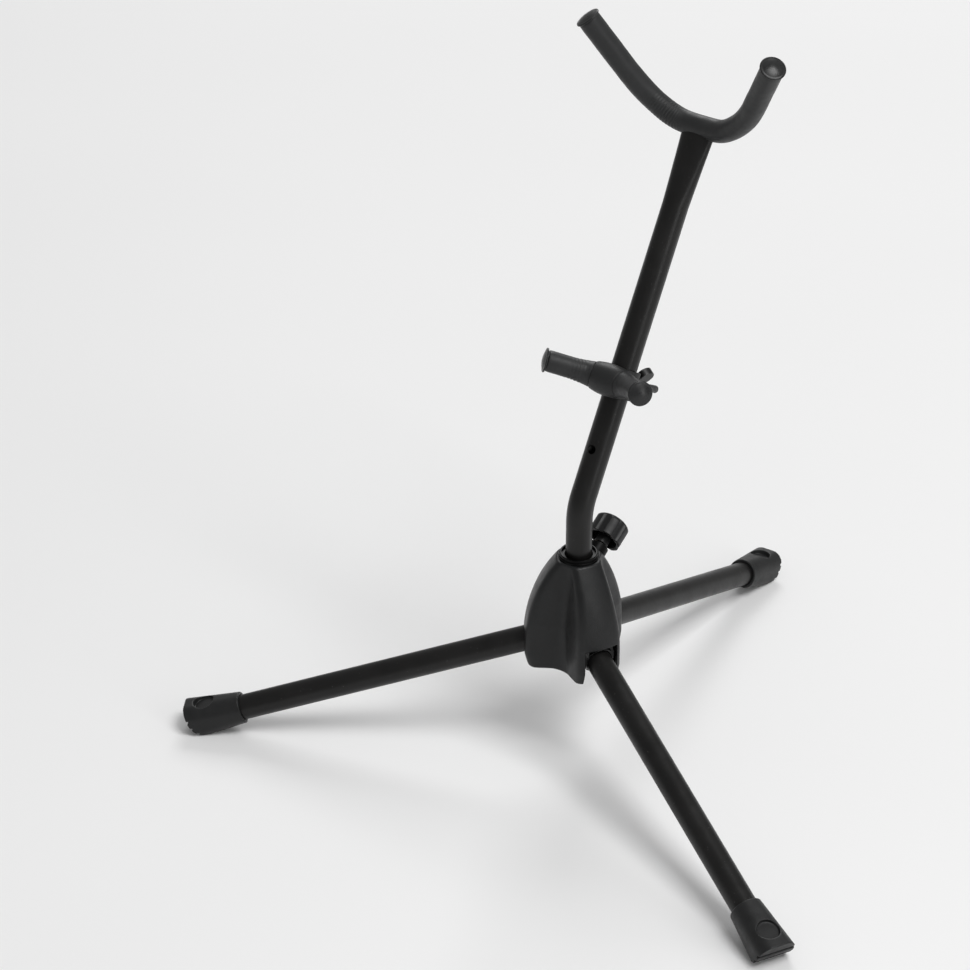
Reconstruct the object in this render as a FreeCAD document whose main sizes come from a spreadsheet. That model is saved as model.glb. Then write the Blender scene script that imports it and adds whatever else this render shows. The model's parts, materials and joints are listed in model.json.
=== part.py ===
import FreeCAD, Part
import os
import re
import Sketcher

# Folding saxophone stand. Millimetres and degrees, +Z up, the floor at Z = 0.
# The post leans back towards +Y, so a player's horn rests on the -Y side.
# The origin is on the floor, under the middle of the stand's bounding box.

SIZES = [
    # Hub axis on the floor, and how far the legs are swung round under the post
    ("hub_x", -9.7),
    ("hub_y", -63.0),
    ("leg_swing", 3.9),
    # Legs: one tube each, hinged in the hub, sloping down to the foot
    ("leg_slope", 18.7),
    ("tube_radius", 10.0),
    ("tube_wall", 1.5),
    ("pivot_radius", 26.0),
    ("pin_radius", 3.0),
    ("pin_fit", 0.05),
    ("knuckle_half_width", 12.2),
    ("knuckle_nose", 11.8),
    ("knuckle_barrel", 12.1),
    ("knuckle_length", 9.5),
    ("tube_start", 4.2),
    ("tube_end", 277.0),
    ("spigot_length", 32.0),
    # Rubber foot, measured along the leg from its pivot
    ("foot_start", 249.4),
    ("foot_end", 296.4),
    ("foot_neck_radius", 12.4),
    ("foot_half_width", 15.5),
    ("foot_rise", 16.2),
    ("foot_drop", 13.9),
    ("foot_corner", 11.0),
    ("toe_centre", 276.4),
    ("toe_lift", 5.1),
    ("toe_radius", 16.45),
    ("rib_depth", 1.6),
    ("toe_overhang", 0.1),
    ("groove_first", 95.0),
    ("groove_pitch", 24.0),
    ("groove_half_width", 0.9),
    ("sole_flat", 0.3),
    ("recess_centre", 278.0),
    ("recess_radius", 8.4),
    ("recess_floor", 11.2),
    # Hub cover: three lobes, heights from where the leg axes cross the hub axis
    ("cover_wall", 1.8),
    ("cover_top", 62.0),
    ("cover_bottom", 29.2),
    ("lobe_top_radius", 16.4),
    ("lobe_belly_radius", 41.5),
    ("lobe_belly_height", 8.0),
    ("lobe_arc_radius", 112.0),
    ("lobe_foot_radius", 38.2),
    ("lobe_half_width", 18.2),
    ("lobe_top_half_width", 12.3),
    ("lobe_taper_height", 10.0),
    ("lobe_edge_radius", 4.0),
    ("slot_half_width", 12.5),
    ("cover_slot_half_width", 13.7),
    ("slot_roof_gap", 0.3),
    ("cheek_half_width", 14.6),
    ("cheek_reach", 37.0),
    ("core_bottom", 26.5),
    ("core_floor", 3.5),
    ("core_sleeve_radius", 13.9),
    ("roof_thickness", 2.6),
    # Collar ring and the liner that the post turns and slides in
    ("bush_radius", 12.0),
    ("bush_flange_radius", 12.9),
    ("bush_flange_height", 2.0),
    ("bush_slit", 2.0),
    ("running_fit", 0.05),
    ("ring_radius", 15.5),
    ("ring_height", 4.2),
    ("ring_step", 0.9),
    ("ring_step_height", 1.9),
    ("ring_round", 0.6),
    ("valley_radius", 24.0),
    # Clamp: screw axis along the rear leg's direction, rising outwards
    ("clamp_height", 40.6),
    ("clamp_rise", 28.0),
    ("boss_radius", 7.8),
    ("boss_end", 33.0),
    ("shoe_radius", 5.0),
    ("shoe_gap", 0.15),
    ("shoe_start", 10.0),
    ("shoe_end", 20.0),
    ("screw_radius", 4.0),
    ("screw_end", 53.8),
    ("insert_start", 23.0),
    ("insert_radius", 6.0),
    ("knob_start", 39.6),
    ("knob_end", 58.0),
    ("knob_radius", 14.1),
    ("knob_hollow_radius", 10.4),
    ("knob_top", 3.2),
    ("knob_neck_radius", 5.6),
    ("knob_neck_start", 35.0),
    ("knob_lobes", 6),
    ("knob_scallop_radius", 5.0),
    ("knob_scallop_centre", 17.2),
    # Post: vertical stub, one bend, then straight to its flattened top
    ("post_bottom", 20.0),
    ("bend_height", 103.5),
    ("bend_radius", 42.0),
    ("post_lean", 28.8),
    ("flare_start", 238.0),
    ("fork_distance", 298.1),
    ("flare_half_width", 14.2),
    ("flare_half_depth", 5.9),
    ("cross_hole_radius", 3.5),
    ("low_hole_distance", 46.0),
    ("support_distance", 99.8),
    ("plug_length", 18.0),
    ("plug_head", 2.5),
    # Upper fork: its plane leans forward of the vertical
    ("fork_forward", 23.4),
    ("fork_rod_radius", 5.0),
    ("fork_sleeve_radius", 8.55),
    ("fork_flat", 14.3),
    ("fork_tight_radius", 15.1),
    ("fork_tight_turn", 31.3),
    ("fork_wide_radius", 90.5),
    ("fork_wide_turn", 29.5),
    ("fork_prong", 53.7),
    ("cap_radius", 9.7),
    ("cap_flange", 1.6),
    ("cap_dome", 1.8),
    ("cap_dome_radius", 8.0),
    ("cap_spigot", 9.0),
    ("sleeve_fit", 0.05),
    # Lower support: two arms from a saddle on the front of the post
    ("arm_offset", 15.6),
    ("arm_flat", 6.5),
    ("arm_bend_radius", 21.9),
    ("arm_turn", 40.5),
    ("arm_straight", 28.2),
    ("arm_rod_radius", 4.0),
    ("arm_sleeve_radius", 8.7),
    ("arm_cap_radius", 9.4),
    ("arm_seam_turn", 20.0),
    ("saddle_arm_radius", 10.6),
    ("saddle_radius", 14.2),
    ("saddle_half_height", 11.0),
    ("saddle_swell_radius", 12.4),
    ("saddle_swell_end", 9.6),
    ("saddle_swell_half", 17.0),
    ("saddle_wrap", 3.0),
    ("bolt_radius", 3.0),
    ("bolt_head_flats", 10.0),
    ("bolt_head_height", 4.0),
    ("bolt_head_depth", 4.5),
    ("bolt_tail", 54.0),
    ("washer_radius", 6.5),
    ("washer_thickness", 1.4),
    ("nut_hub_radius", 5.6),
    ("nut_hub_top_radius", 4.6),
    ("nut_hub_height", 9.0),
    ("nut_bore_radius", 3.05),
    ("wing_reach", 11.4),
    ("wing_height", 9.6),
    ("wing_ear_radius", 6.6),
    ("wing_thickness", 5.6),
    ("wing_turn", 54.5),
]

LEGS = (("rear", 90), ("left", 210), ("right", 330))

doc = FreeCAD.newDocument("saxophone_stand")
sheet = doc.addObject("Spreadsheet::Sheet", "Sizes")
for row, (alias, number) in enumerate(SIZES, start=1):
    sheet.set(f"A{row}", alias.replace("_", " "))
    sheet.set(f"B{row}", str(number))
    sheet.setAlias(f"B{row}", alias)
doc.recompute()

ALIASES = {alias for alias, number in SIZES}


def link(text):
    """Turns size names into references to the sheet."""
    return re.sub(r"[a-z_]\w*", lambda m: "Sizes." + m[0] if m[0] in ALIASES else m[0], str(text))


def value(text):
    """Number that an expression gives with the present sizes."""
    result = sheet.evalExpression(link(text))
    return float(getattr(result, "Value", result))


def bind(item, **expressions):
    """Binds an object's properties to expressions of the sizes."""
    for name, text in expressions.items():
        item.setExpression(name, link(text))
    return item


def place(position="vector(0; 0; 0)", rotation="rotation(0; 0; 0)"):
    """Expression of a placement: position, then yaw, pitch and roll."""
    return f"placement({position}; {rotation})"


def put(item, placement):
    item.setExpression("Placement", link(placement))
    return item


# Frames that the pieces are drawn in ------------------------------------------------------

CROSSING = (
    "((toe_centre + pivot_radius / cos(leg_slope)) * sin(leg_slope)"
    " - toe_lift * cos(leg_slope) + toe_radius - sole_flat)"
)
PIVOT_DROP = "(pivot_radius * tan(leg_slope))"
HUB = place(f"vector(hub_x; hub_y; {CROSSING})")
CLAMP = (
    place(f"vector(hub_x; hub_y; {CROSSING} + clamp_height)", "rotation(90 + leg_swing; 0; 0)")
    + " * "
    + place(rotation="rotation(0; 90 - clamp_rise; 0)")
)
POST = place(f"vector(hub_x; hub_y; {CROSSING} + bend_height)", "rotation(0; 0; -post_lean)")
FORK = POST + " * " + place("vector(0; 0; fork_distance)", "rotation(0; 0; post_lean + fork_forward)")
ARMS = POST + " * " + place("vector(0; -arm_offset; support_distance)", "rotation(0; 0; 90)")
BOLT = POST + " * " + place("vector(0; 0; support_distance)", "rotation(0; 0; 90)")


def hub_frame(azimuth):
    """At the crossing height, X pointing out along one leg."""
    return HUB + " * " + place(rotation=f"rotation({azimuth} + leg_swing; 0; 0)")


def leg_frame(azimuth):
    """At a leg's pivot, X down along the leg, Y along its hinge pin."""
    pivot = place(f"vector(pivot_radius; 0; -{PIVOT_DROP})", "rotation(0; leg_slope; 0)")
    return hub_frame(azimuth) + " * " + pivot


# Building blocks --------------------------------------------------------------------------


def add(kind, name, **expressions):
    return bind(doc.addObject(kind, name), **expressions)


def cylinder(name, radius, height, placement):
    return put(add("Part::Cylinder", name, Radius=radius, Height=height), placement)


def box(name, low, high, frame):
    """Box between two corners given in a frame."""
    item = add("Part::Box", name)
    for side, start, end in zip(("Length", "Width", "Height"), low, high):
        item.setExpression(side, link(f"({end}) - ({start})"))
    return put(item, frame + " * " + place(f"vector({low[0]}; {low[1]}; {low[2]})"))


def cut(name, base, tool):
    item = doc.addObject("Part::Cut", name)
    item.Base = base
    item.Tool = tool
    return item


def fuse(name, pieces):
    item = doc.addObject("Part::MultiFuse", name)
    item.Shapes = pieces
    item.Refine = True
    return item


def common(name, pieces):
    item = doc.addObject("Part::MultiCommon", name)
    item.Shapes = pieces
    return item


def mirrored(name, source):
    """Copy of a piece across the post's plane of symmetry."""
    item = doc.addObject("Part::Mirroring", name)
    item.Source = source
    item.Normal = FreeCAD.Vector(1, 0, 0)
    item.setExpression("Base.x", link("hub_x"))
    return item


def sketch_on(body, name, plane):
    """Empty sketch on one of a body's own origin planes."""
    sketch = body.newObject("Sketcher::SketchObject", name)
    planes = {feature.Role: feature for feature in body.Origin.OriginFeatures}
    sketch.AttachmentSupport = (planes[plane], [""])
    sketch.MapMode = "FlatFace"
    return sketch


def pin_point(sketch, edge, end, point, tag):
    """Holds one end of an edge at a point given by two expressions."""
    for kind, text in zip(("DistanceX", "DistanceY"), point):
        name = f"{tag}_{kind[-1].lower()}"
        index = sketch.addConstraint(Sketcher.Constraint(kind, -1, 1, edge, end, value(text)))
        sketch.renameConstraint(index, name)
        sketch.setExpression(f"Constraints.{name}", link(text))


def arc_between(start, end, radius, side):
    """Short arc from start to end; side 1 puts its centre on the left of the way."""
    chord = end - start
    middle = (start + end) * 0.5
    rise = (radius**2 - (chord.Length / 2) ** 2) ** 0.5
    across = FreeCAD.Vector(-chord.y, chord.x, 0).normalize()
    centre = middle + across * rise * side
    outward = (middle - centre).normalize() * radius
    return Part.Arc(start, centre + outward, end)


def draw(sketch, steps, closed=True):
    """Draws lines and arcs through points. A step is (x, y), or (x, y, radius, side) for an arc."""
    points = [FreeCAD.Vector(value(step[0]), value(step[1]), 0) for step in steps]
    count = len(steps)
    for index in range(count if closed else count - 1):
        following = (index + 1) % count
        step = steps[following]
        start, end = points[index], points[following]
        if len(step) == 2:
            edge = sketch.addGeometry(Part.LineSegment(start, end), False)
            ends = (1, 2)
        else:
            radius, side = step[2], step[3]
            edge = sketch.addGeometry(arc_between(start, end, value(radius), side), False)
            ends = (1, 2) if side > 0 else (2, 1)
            name = f"radius_{edge}"
            held = sketch.addConstraint(Sketcher.Constraint("Radius", edge, value(radius)))
            sketch.renameConstraint(held, name)
            sketch.setExpression(f"Constraints.{name}", link(radius))
        pin_point(sketch, edge, ends[0], steps[index], f"start_{edge}")
        pin_point(sketch, edge, ends[1], step, f"end_{edge}")
    return sketch


def draw_circle(sketch, radius, x="0", y="0"):
    centre = FreeCAD.Vector(value(x), value(y), 0)
    ring = Part.Circle(centre, FreeCAD.Vector(0, 0, 1), value(radius))
    edge = sketch.addGeometry(ring, False)
    pin_point(sketch, edge, 3, (x, y), f"centre_{edge}")
    held = sketch.addConstraint(Sketcher.Constraint("Radius", edge, value(radius)))
    sketch.renameConstraint(held, f"radius_{edge}")
    sketch.setExpression(f"Constraints.radius_{edge}", link(radius))
    return sketch


def new_body(name, frame):
    return put(doc.addObject("PartDesign::Body", name), frame)


def revolved(name, steps, frame):
    """Body turned about its own Z axis from an outline of (radius, height) steps."""
    body = new_body(name, frame)
    sketch = draw(sketch_on(body, name + "_outline", "XZ_Plane"), steps)
    turn = body.newObject("PartDesign::Revolution", name + "_turn")
    turn.Profile = sketch
    turn.ReferenceAxis = (sketch, ["V_Axis"])
    turn.Angle = 360
    body.Tip = turn
    return body


def extruded(name, steps, width, frame, plane="XZ_Plane"):
    """Body padded to both sides of one of its origin planes."""
    body = new_body(name, frame)
    sketch = draw(sketch_on(body, name + "_outline", plane), steps)
    pad = body.newObject("PartDesign::Pad", name + "_pad")
    pad.Profile = sketch
    pad.SideType = "Symmetric"
    bind(pad, Length=width)
    body.Tip = pad
    return body


def swept(name, radii, path, frame, profile_plane, path_plane):
    """Body swept from circles of the given radii along a path that starts at its origin."""
    body = new_body(name, frame)
    profile = sketch_on(body, name + "_section", profile_plane)
    for radius in radii:
        draw_circle(profile, radius)
    route = draw(sketch_on(body, name + "_route", path_plane), path, closed=False)
    pipe = body.newObject("PartDesign::AdditivePipe", name + "_pipe")
    pipe.Profile = profile
    pipe.Spine = route
    body.Tip = pipe
    return body


PARTS = {}


def keep(item, node):
    """Names a finished piece."""
    item.Label = node
    PARTS[node] = item
    return item


# Hub cover --------------------------------------------------------------------------------


def lobe_body(name, wall, azimuth):
    """One lobe of the bell, drawn smaller by a wall for the hollow inside."""
    top = f"(cover_top - {wall})"
    # The hollow runs out through the open bottom.
    bottom = "(-cover_bottom)" if wall == "0" else "(-cover_bottom - 5)"
    belly = f"(lobe_belly_radius - {wall})"
    foot = f"(lobe_foot_radius - {wall})"
    crown = f"(lobe_top_radius - {wall})"
    side = extruded(
        name + "_side",
        [
            ("0", bottom),
            (foot, bottom),
            (belly, "(-cover_bottom + 11)"),
            (belly, "-lobe_belly_height"),
            (crown, top, "lobe_arc_radius", 1),
            ("0", top),
        ],
        f"2 * (lobe_half_width - {wall}) + 4",
        hub_frame(azimuth),
    )
    front = extruded(
        name + "_front",
        [
            (f"-lobe_half_width + {wall}", bottom),
            (f"lobe_half_width - {wall}", bottom),
            (f"lobe_half_width - {wall}", "lobe_taper_height"),
            (f"lobe_top_half_width - {wall}", top),
            (f"-lobe_top_half_width + {wall}", top),
            (f"-lobe_half_width + {wall}", "lobe_taper_height"),
        ],
        "2 * lobe_belly_radius + 20",
        hub_frame(azimuth),
        "YZ_Plane",
    )
    block = box(
        name + "_half",
        ("0", "-lobe_half_width - 5", "-cover_bottom - 6"),
        ("lobe_belly_radius + 5", "lobe_half_width + 5", "cover_top + 5"),
        hub_frame(azimuth),
    )
    return common(name, [side, front, block])


def rounded_lobe(name, azimuth):
    """Lobe with its two long outer edges rounded."""
    lobe = lobe_body(name, "0", azimuth)
    doc.recompute()
    out = FreeCAD.Vector(1, 0, 0)
    frame = lobe.Shapes[0].Placement
    inverse = frame.inverse()
    edges = []
    for index, edge in enumerate(lobe.Shape.Edges, start=1):
        middle = inverse.multVec(edge.valueAt((edge.FirstParameter + edge.LastParameter) / 2))
        along = edge.valueAt(edge.LastParameter) - edge.valueAt(edge.FirstParameter)
        level = abs(frame.Rotation.inverted().multVec(along).z) < 1
        if middle.dot(out) > value("lobe_top_radius") * 0.9 and not level:
            edges.append((index, value("lobe_edge_radius"), value("lobe_edge_radius")))
    rounded = doc.addObject("Part::Fillet", name + "_rounded")
    rounded.Base = lobe
    rounded.Edges = edges
    return rounded


def build_cover():
    neck = revolved(
        "cover_neck",
        [
            ("0", "-cover_bottom"),
            ("valley_radius", "-cover_bottom"),
            ("ring_radius + 0.4", "cover_top"),
            ("0", "cover_top"),
        ],
        HUB,
    )
    neck_hollow = revolved(
        "cover_neck_hollow",
        [
            ("0", "-cover_bottom - 5"),
            ("valley_radius - cover_wall", "-cover_bottom - 5"),
            ("valley_radius - cover_wall", "-cover_bottom"),
            ("ring_radius + 0.4 - cover_wall", "cover_top - cover_wall"),
            ("0", "cover_top - cover_wall"),
        ],
        HUB,
    )
    envelope = revolved(
        "cover_envelope",
        [
            ("0", "-cover_bottom - 1"),
            ("60", "-cover_bottom - 1"),
            ("60", "5"),
            ("ring_radius + 0.6", "cover_top"),
            ("0", "cover_top"),
        ],
        HUB,
    )
    outer = [rounded_lobe(f"lobe_{leg}", azimuth) for leg, azimuth in LEGS]
    inner = [lobe_body(f"hollow_{leg}", "cover_wall", azimuth) for leg, azimuth in LEGS]
    solid = common("cover_solid", [fuse("cover_lobes", outer + [neck]), envelope])
    tools = inner + [
        neck_hollow,
        cylinder("cover_collar_hole", "bush_radius + 1", "cover_top", HUB),
        cylinder(
            "cover_boss_hole",
            "boss_radius + 0.2",
            "30",
            CLAMP + " * " + place("vector(0; 0; 12)"),
        ),
    ]
    for leg, azimuth in LEGS:
        low = ("lobe_top_radius", "-cover_slot_half_width", "-cover_bottom - 5")
        high = ("lobe_belly_radius + 5", "cover_slot_half_width", "1.2")
        tools.append(box(f"cover_slot_{leg}", low, high, hub_frame(azimuth)))
    keep(cut("cover_shell", solid, fuse("cover_tools", tools)), "hub_cover")


# Hub core ---------------------------------------------------------------------------------

ROOF = (
    "(knuckle_barrel + slot_roof_gap) / cos(leg_slope)"
    f" - {PIVOT_DROP} + pivot_radius * tan(leg_slope)"
)


def roof_height(radius, extra="0"):
    """Height of the slot's sloping roof at a radius; the leg rests just under it."""
    return f"({ROOF} + {extra} - ({radius}) * tan(leg_slope))"


def build_core():
    blocks = []
    slots = []
    for leg, azimuth in LEGS:
        blocks.append(
            extruded(
                f"cheeks_{leg}",
                [
                    ("0", "-core_bottom"),
                    ("cheek_reach - 3", "-core_bottom"),
                    ("cheek_reach", "-core_bottom + 8"),
                    ("cheek_reach", roof_height("cheek_reach", "roof_thickness")),
                    ("0", roof_height("0", "roof_thickness")),
                ],
                "2 * cheek_half_width",
                hub_frame(azimuth),
            )
        )
        slots.append(
            extruded(
                f"leg_slot_{leg}",
                [
                    ("core_sleeve_radius", "-core_bottom - 5"),
                    ("cheek_reach + 5", "-core_bottom - 5"),
                    ("cheek_reach + 5", roof_height("cheek_reach + 5")),
                    ("core_sleeve_radius", roof_height("core_sleeve_radius")),
                ],
                "2 * slot_half_width",
                hub_frame(azimuth),
            )
        )
        pin_place = leg_frame(azimuth) + " * " + place(
            "vector(0; -cheek_half_width - 1; 0)", "rotation(0; 0; -90)"
        )
        slots.append(
            cylinder(f"pin_hole_{leg}", "pin_radius", "2 * cheek_half_width + 2", pin_place)
        )
    halves = []
    for leg, azimuth in LEGS:
        low = ("-60", "-cheek_half_width - 5", "-core_bottom - 1")
        high = ("0", "cheek_half_width + 5", "cover_top")
        halves.append(box(f"cheeks_back_{leg}", low, high, hub_frame(azimuth)))
    blocks = [cut(f"cheek_pair_{leg}", block, half)
              for (leg, azimuth), block, half in zip(LEGS, blocks, halves)]
    sleeve = cylinder(
        "core_sleeve",
        "core_sleeve_radius",
        "core_bottom + cover_top - cover_wall - 0.2",
        HUB + " * " + place("vector(0; 0; -core_bottom)"),
    )
    boss = cylinder("clamp_boss", "boss_radius", "boss_end - 6",
                    CLAMP + " * " + place("vector(0; 0; 6)"))
    bore = cylinder(
        "bush_bore",
        "bush_radius + running_fit",
        "core_bottom - core_floor + cover_top + 10",
        HUB + " * " + place("vector(0; 0; -core_bottom + core_floor)"),
    )
    shoe_bore = cylinder("shoe_bore", "shoe_radius + running_fit", "30", CLAMP)
    insert_bore = cylinder(
        "insert_bore", "insert_radius", "boss_end", CLAMP + " * " + place("vector(0; 0; insert_start)")
    )
    solid = fuse("core_solid", blocks + [sleeve, boss])
    tools = fuse("core_tools", slots + [bore, shoe_bore, insert_bore])
    keep(cut("core_cut", solid, tools), "hub_core")


# Collar ring and swivel bush ----------------------------------------------------------------


def build_collar():
    ring = revolved(
        "collar_ring_body",
        [
            ("bush_flange_radius + 0.3", "cover_top"),
            ("ring_radius", "cover_top"),
            ("ring_radius", "cover_top + ring_step_height - ring_round"),
            ("ring_radius - ring_round", "cover_top + ring_step_height", "ring_round", 1),
            ("ring_radius - ring_step", "cover_top + ring_step_height"),
            ("ring_radius - ring_step", "cover_top + ring_height - ring_round"),
            ("ring_radius - ring_step - ring_round", "cover_top + ring_height", "ring_round", 1),
            ("bush_flange_radius + 0.3", "cover_top + ring_height"),
        ],
        HUB,
    )
    keep(ring, "collar_ring")
    flange = "cover_top + 0.3"
    liner = revolved(
        "bush_body",
        [
            ("tube_radius + running_fit", "-post_bottom + 8"),
            ("bush_radius", "-post_bottom + 8"),
            ("bush_radius", flange),
            ("bush_flange_radius", flange),
            ("bush_flange_radius", f"{flange} + bush_flange_height"),
            ("tube_radius + running_fit + 0.8", f"{flange} + bush_flange_height"),
            ("tube_radius + running_fit", f"{flange} + bush_flange_height - 0.8"),
        ],
        HUB,
    )
    slit = box(
        "bush_slit_box",
        ("-bush_slit / 2", "-bush_flange_radius - 2", "-post_bottom"),
        ("bush_slit / 2", "0", "cover_top - 6"),
        HUB,
    )
    keep(cut("bush_split", liner, slit), "swivel_bush")


# Clamp --------------------------------------------------------------------------------------


def build_clamp():
    shoe = cylinder("shoe_bar", "shoe_radius", "shoe_end - shoe_start",
                    CLAMP + " * " + place("vector(0; 0; shoe_start)"))
    hollow = cylinder("shoe_hollow", "bush_radius + shoe_gap", "cover_top", HUB)
    keep(cut("shoe_shaped", shoe, hollow), "clamp_shoe")
    screw = revolved(
        "clamp_screw_body",
        [
            ("0", "shoe_end"),
            ("screw_radius - 1", "shoe_end"),
            ("screw_radius", "shoe_end + 1"),
            ("screw_radius", "screw_end"),
            ("0", "screw_end"),
        ],
        CLAMP,
    )
    keep(screw, "clamp_screw")
    insert = revolved(
        "clamp_insert_body",
        [
            ("screw_radius + running_fit", "insert_start"),
            ("insert_radius", "insert_start"),
            ("insert_radius", "boss_end"),
            ("screw_radius + running_fit + 0.6", "boss_end"),
            ("screw_radius + running_fit", "boss_end - 0.6"),
        ],
        CLAMP,
    )
    keep(insert, "clamp_insert")
    keep(build_knob(), "clamp_knob")


def build_knob():
    """Hollow-skirted knob with shallow scallops between its lobes."""
    shell = revolved(
        "knob_shell",
        [
            ("screw_radius", "knob_neck_start"),
            ("knob_neck_radius", "knob_neck_start"),
            ("knob_neck_radius", "knob_end - knob_top"),
            ("knob_hollow_radius", "knob_end - knob_top"),
            ("knob_hollow_radius + 0.8", "knob_start"),
            ("knob_radius", "knob_start"),
            ("knob_radius", "knob_end - 4"),
            ("knob_radius - 3", "knob_end - 1", "5", 1),
            ("0", "knob_end", "((knob_radius - 3) ^ 2 + 1) / 2", 1),
            ("0", "screw_end"),
            ("screw_radius", "screw_end"),
        ],
        CLAMP,
    )
    scallops = []
    for index in range(int(value("knob_lobes"))):
        turned = place(rotation=f"rotation({index} * 360 / knob_lobes; 0; 0)")
        out = place("vector(knob_scallop_centre; 0; knob_start - 1)")
        where = CLAMP + " * " + turned + " * " + out
        scallops.append(cylinder(f"scallop_{index}", "knob_scallop_radius", "25", where))
    return cut("knob_scalloped", shell, fuse("scallops", scallops))


# Legs ---------------------------------------------------------------------------------------


def build_knuckle(leg, frame):
    across = place("vector(0; -knuckle_half_width; 0)", "rotation(0; 0; -90)")
    nose = cylinder(f"nose_{leg}", "knuckle_nose", "2 * knuckle_half_width", frame + " * " + across)
    along = place(rotation="rotation(0; 90; 0)")
    barrel = cylinder(f"barrel_{leg}", "knuckle_barrel", "knuckle_length", frame + " * " + along)
    socket_start = place("vector(tube_start; 0; 0)", "rotation(0; 90; 0)")
    socket = cylinder(f"socket_{leg}", "tube_radius", "40", frame + " * " + socket_start)
    spigot = cylinder(f"spigot_{leg}", "tube_radius - tube_wall", "spigot_length",
                      frame + " * " + socket_start)
    bore_place = place("vector(0; -knuckle_half_width - 1; 0)", "rotation(0; 0; -90)")
    bore = cylinder(f"knuckle_bore_{leg}", "pin_radius + pin_fit", "2 * knuckle_half_width + 2",
                    frame + " * " + bore_place)
    outside = cut(f"knuckle_outside_{leg}", fuse(f"knuckle_lump_{leg}", [nose, barrel]), socket)
    whole = fuse(f"knuckle_whole_{leg}", [outside, spigot])
    keep(cut(f"knuckle_bored_{leg}", whole, bore), f"leg_knuckle_{leg}")


def build_leg_tube(leg, frame):
    start = frame + " * " + place("vector(tube_start; 0; 0)", "rotation(0; 90; 0)")
    outer = cylinder(f"leg_outer_{leg}", "tube_radius", "tube_end - tube_start", start)
    inner = cylinder(f"leg_inner_{leg}", "tube_radius - tube_wall", "tube_end - tube_start", start)
    keep(cut(f"leg_pipe_{leg}", outer, inner), f"leg_tube_{leg}")


def build_pin(leg, frame):
    across = place("vector(0; -cheek_half_width; 0)", "rotation(0; 0; -90)")
    pin = cylinder(f"pin_{leg}", "pin_radius", "2 * cheek_half_width", frame + " * " + across)
    keep(pin, f"pivot_pin_{leg}")


def rounded_section(body, name, half_width, rise, drop, corner, distance):
    """Rounded rectangle across the leg at a distance from its pivot."""
    sketch = sketch_on(body, name, "YZ_Plane")
    sketch.setExpression("AttachmentOffset.Base.z", link(distance))
    steps = [
        (f"{half_width} - {corner}", f"-{drop}"),
        (half_width, f"-{drop} + {corner}", corner, 1),
        (half_width, f"{rise} - {corner}"),
        (f"{half_width} - {corner}", rise, corner, 1),
        (f"-{half_width} + {corner}", rise),
        (f"-{half_width}", f"{rise} - {corner}", corner, 1),
        (f"-{half_width}", f"-{drop} + {corner}"),
        (f"-{half_width} + {corner}", f"-{drop}", corner, 1),
    ]
    return draw(sketch, steps)


def build_foot(leg, frame):
    """Rubber foot: round socket growing into a wide toe with a grooved, rounded sole."""
    body = new_body(f"foot_blank_{leg}", frame)
    neck = rounded_section(body, f"neck_{leg}", "foot_neck_radius", "foot_neck_radius",
                           "foot_neck_radius", "(foot_neck_radius - 0.2)", "foot_start")
    toe = rounded_section(body, f"toe_{leg}", "foot_half_width", "foot_rise", "foot_drop",
                          "foot_corner", "foot_end")
    loft = body.newObject("PartDesign::AdditiveLoft", f"foot_loft_{leg}")
    loft.Profile = neck
    loft.Sections = [toe]
    loft.Ruled = True
    body.Tip = loft
    profile = extruded(
        f"foot_profile_{leg}",
        [
            ("foot_start", "toe_lift - toe_radius"),
            ("toe_centre", "toe_lift - toe_radius"),
            ("toe_centre + toe_radius", "toe_lift", "toe_radius", 1),
            ("toe_centre + toe_radius + toe_overhang * (30 - toe_lift)", "30"),
            ("foot_start", "30"),
        ],
        "60",
        frame,
    )
    floor = box(
        f"floor_{leg}",
        ("0", "-60", f"-{CROSSING} - 20"),
        ("400", "60", f"-{CROSSING}"),
        hub_frame(dict(LEGS)[leg]),
    )
    tools = [
        floor,
        cylinder(f"foot_socket_{leg}", "tube_radius", "tube_end - foot_start",
                 frame + " * " + place("vector(foot_start; 0; 0)", "rotation(0; 90; 0)")),
        cylinder(f"foot_recess_{leg}", "recess_radius", "20",
                 frame + " * " + place("vector(recess_centre; 0; recess_floor)")),
    ]
    for index in range(3):
        # Grooves across the sole, as bars lying on the toe's round
        turn = f"(90 - groove_first + groove_pitch * {index})"
        groove = place("vector(toe_centre; 0; toe_lift)", f"rotation(0; {turn}; 0)")
        low = ("toe_radius - rib_depth", "-30", "-groove_half_width")
        high = ("toe_radius + 5", "30", "groove_half_width")
        tools.append(box(f"groove_{leg}_{index}", low, high, frame + " * " + groove))
    trimmed = common(f"foot_trimmed_{leg}", [body, profile])
    keep(cut(f"foot_ribbed_{leg}", trimmed, fuse(f"foot_tools_{leg}", tools)), f"foot_{leg}")


# Post ---------------------------------------------------------------------------------------

BEND_TANGENT = "(bend_radius * tan(post_lean / 2))"


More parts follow.
